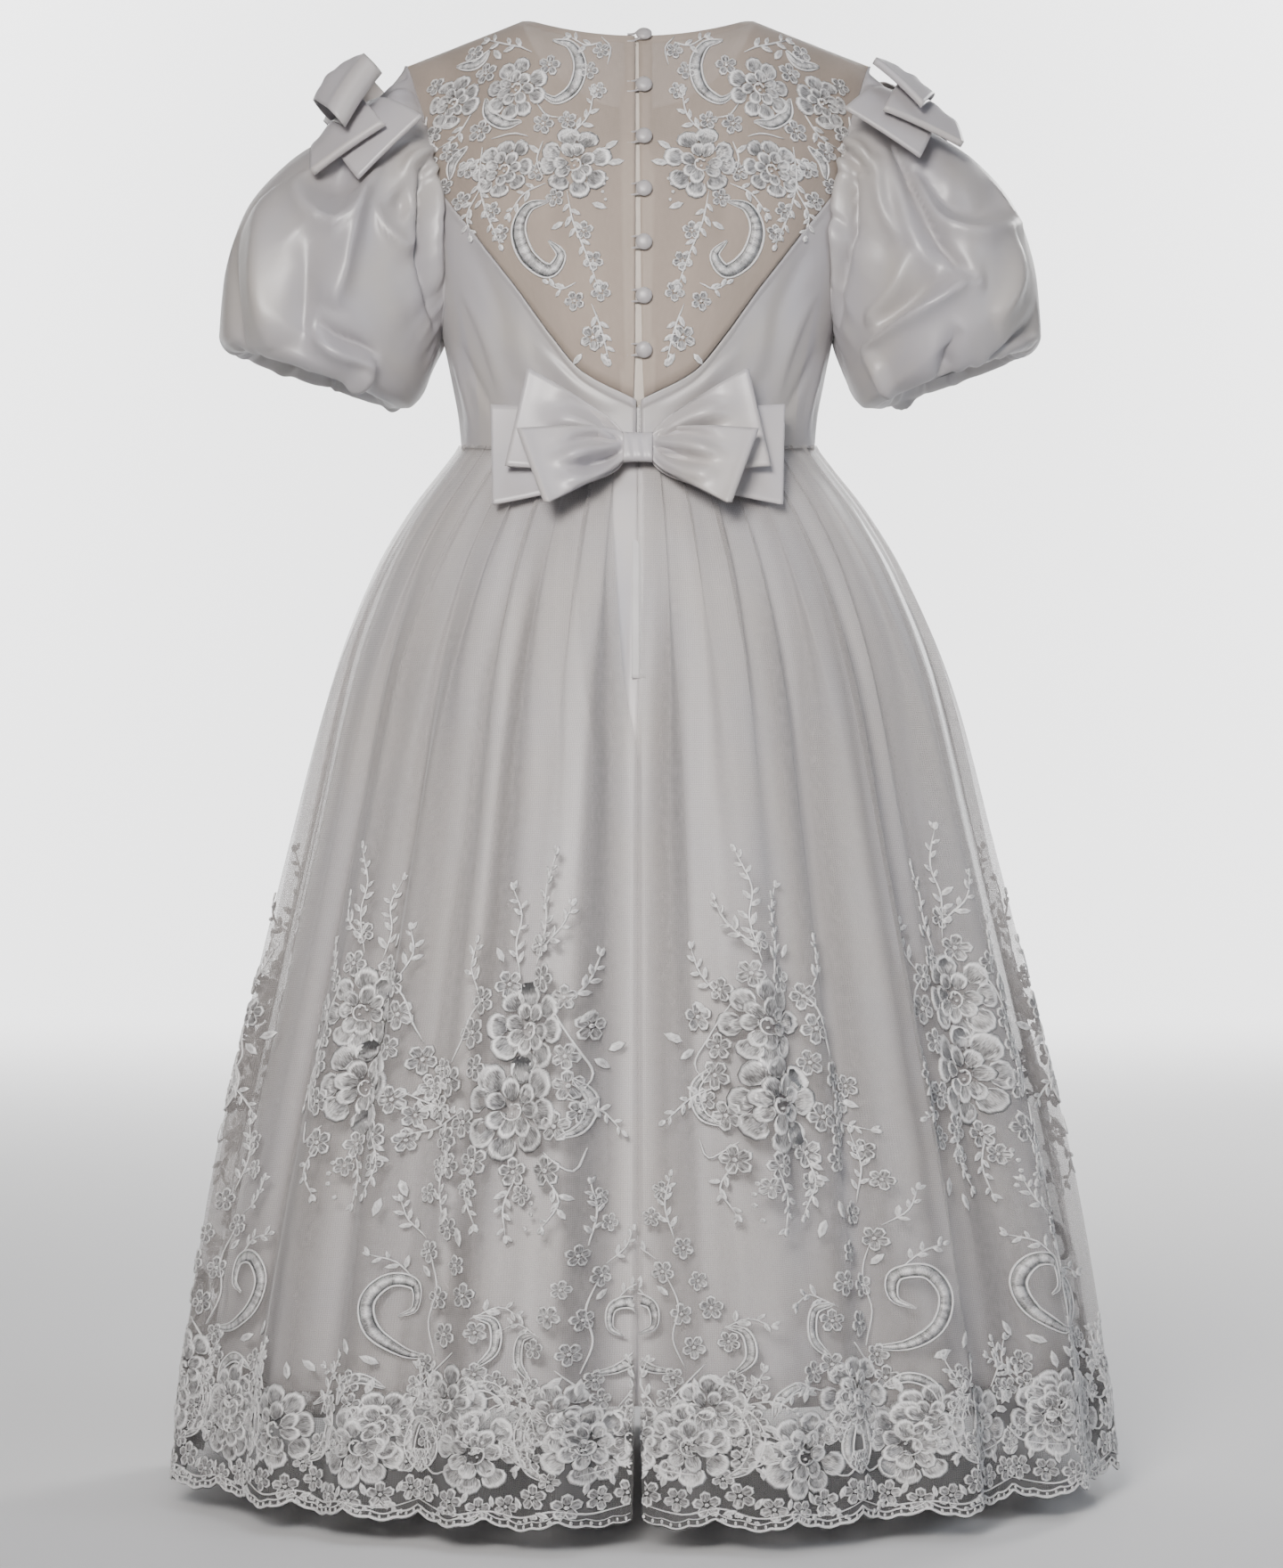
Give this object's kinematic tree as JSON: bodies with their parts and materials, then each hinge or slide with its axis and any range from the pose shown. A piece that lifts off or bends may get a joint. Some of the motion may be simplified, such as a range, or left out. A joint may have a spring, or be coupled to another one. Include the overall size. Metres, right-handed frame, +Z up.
{
  "type": "communion dress",
  "caption": "White satin communion dress with puffed sleeves, lace on a sheer buttoned back yoke, bows, and a gathered tulle skirt over satin, shown worn with no wearer.",
  "frame": {"origin": "midway between the two points where the shoulders meet the neck, on which the dress hangs", "axes": "+X towards the wearer's right, +Y towards the wearer's front, +Z up; the buttoned back faces -Y"},
  "size_m": [0.622, 0.5826, 0.9684],
  "materials": {
    "satin": "white duchess satin, soft sheen",
    "tulle": "soft white tulle with corded floral embroidery, see-through",
    "illusion_mesh": "sheer nude mesh with corded floral embroidery",
    "cream_mesh": "cream underlap, matt",
    "zip_tape": "white invisible zip tape"
  },
  "bodies": {
    "root": {"bodice_back_left": "satin", "yoke_back_left": "illusion_mesh", "sleeve_left": "satin", "sleeve_band_left": "satin", "overlay_back_left": "tulle", "underskirt_back_left": "satin", "sleeve_bow_left_back": "satin", "sleeve_bow_left_middle": "satin", "sleeve_bow_left_front": "satin", "sleeve_bow_left_knot": "satin", "bodice_back_right": "satin", "yoke_back_right": "illusion_mesh", "sleeve_right": "satin", "sleeve_band_right": "satin", "overlay_back_right": "tulle", "underskirt_back_right": "satin", "sleeve_bow_right_back": "satin", "sleeve_bow_right_middle": "satin", "sleeve_bow_right_front": "satin", "sleeve_bow_right_knot": "satin", "bodice_front": "satin", "yoke_front": "illusion_mesh", "overlay_front": "tulle", "underskirt_front": "satin", "button_underlap": "cream_mesh", "zip": "zip_tape", "waist_bow_back": "satin", "waist_bow_middle": "satin", "waist_bow_front": "satin", "waist_bow_knot": "satin", "button_1": "satin", "button_2": "satin", "button_3": "satin", "button_4": "satin", "button_5": "satin", "button_6": "satin", "button_7": "satin", "button_loop_1": "satin", "button_loop_2": "satin", "button_loop_3": "satin", "button_loop_4": "satin", "button_loop_5": "satin", "button_loop_6": "satin", "button_loop_7": "satin"}
  },
  "joints": []
}
